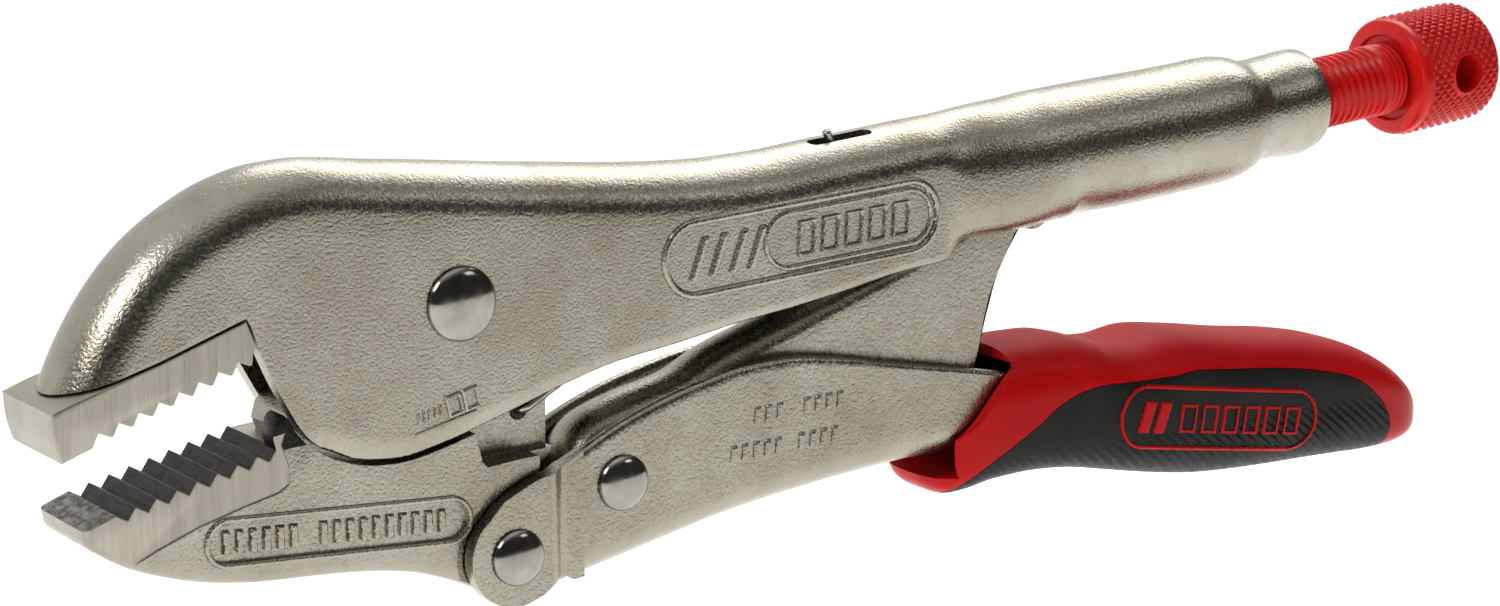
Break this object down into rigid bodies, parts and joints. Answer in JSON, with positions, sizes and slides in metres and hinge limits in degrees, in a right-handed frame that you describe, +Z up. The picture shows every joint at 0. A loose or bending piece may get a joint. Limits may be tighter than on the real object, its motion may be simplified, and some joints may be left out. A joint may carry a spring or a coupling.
{
  "type": "locking pliers",
  "caption": "Locking pliers with toothed jaws, a toggle link inside sheet steel handles, a knurled red adjusting screw and a red and black release grip.",
  "frame": {"origin": "under the middle of the whole tool, on the level of its lowest point", "axes": "+X from the jaws towards the adjusting knob, +Z up from the lower to the upper handle, +Y across the tool along its rivets"},
  "size_m": [0.2495, 0.023, 0.0703],
  "materials": {
    "satin_nickel": "shot-blasted steel under satin nickel plating",
    "ground_steel": "ground jaw faces with fine vertical grinding lines",
    "polished_steel": "polished domed rivet heads",
    "spring_steel": "bright spring and lever steel",
    "red_coating": "glossy red coating",
    "red_grip": "red moulded grip, satin on top and glossier on its sides",
    "black_inlay": "matt black soft inlay"
  },
  "bodies": {
    "upper_body": {"upper_handle": "satin_nickel", "fixed_jaw": "ground_steel", "main_rivet": "polished_steel", "return_spring": "spring_steel"},
    "jaw_body": {"movable_jaw": "satin_nickel"},
    "lower_body": {"lower_handle": "satin_nickel", "handle_rivet": "polished_steel", "link_rivet": "polished_steel", "release_pin": "spring_steel", "release_spring": "spring_steel"},
    "link_body": {"toggle_link": "satin_nickel"},
    "grip_body": {"release_lever": "spring_steel", "grip_shell": "red_grip", "grip_inlay_left": "black_inlay", "grip_inlay_right": "black_inlay"},
    "screw_carrier": {"screw_stop_ring": "spring_steel"},
    "screw_body": {"adjusting_screw": "red_coating", "adjusting_knob": "red_coating"}
  },
  "joints": [
    {"name": "jaw_pivot", "type": "hinge", "parent": "upper_body", "child": "jaw_body", "pos_m": [-0.0664, 0, 0.0437], "axis": [0, -1, 0], "range_deg": [0, 12], "deforming": ["return_spring"]},
    {"name": "handle_pivot", "type": "hinge", "parent": "jaw_body", "child": "lower_body", "pos_m": [-0.0594, 0, 0.0082], "axis": [0, 1, 0], "range_deg": [0, 60]},
    {"name": "link_pivot", "type": "hinge", "parent": "lower_body", "child": "link_body", "pos_m": [-0.0416, 0, 0.0157], "axis": [0, -1, 0], "range_deg": [0, 59.3]},
    {"name": "release_pivot", "type": "hinge", "parent": "lower_body", "child": "grip_body", "pos_m": [0.0306, 0, 0.0165], "axis": [0, 1, 0], "range_deg": [0, 5], "stiffness_Nm_per_rad": 1, "springref_deg": -2.86, "deforming": ["release_spring"]},
    {"name": "screw_travel", "type": "slide", "parent": "upper_body", "child": "screw_carrier", "axis": [0.9951, 0, 0.0993], "range_m": [0, 0.0105]},
    {"name": "screw_turn", "type": "hinge", "parent": "screw_carrier", "child": "screw_body", "pos_m": [0.0736, 0, 0.05595], "axis": [0.9951, 0, 0.0993], "range_deg": [0, 2520]}
  ],
  "couplings": [
    {"joint": "jaw_pivot", "follows": "handle_pivot", "ratio": 0.2},
    {"joint": "link_pivot", "follows": "handle_pivot", "ratio": 0.9874},
    {"joint": "screw_turn", "follows": "screw_travel", "rad_per_m": 4188.8}
  ]
}
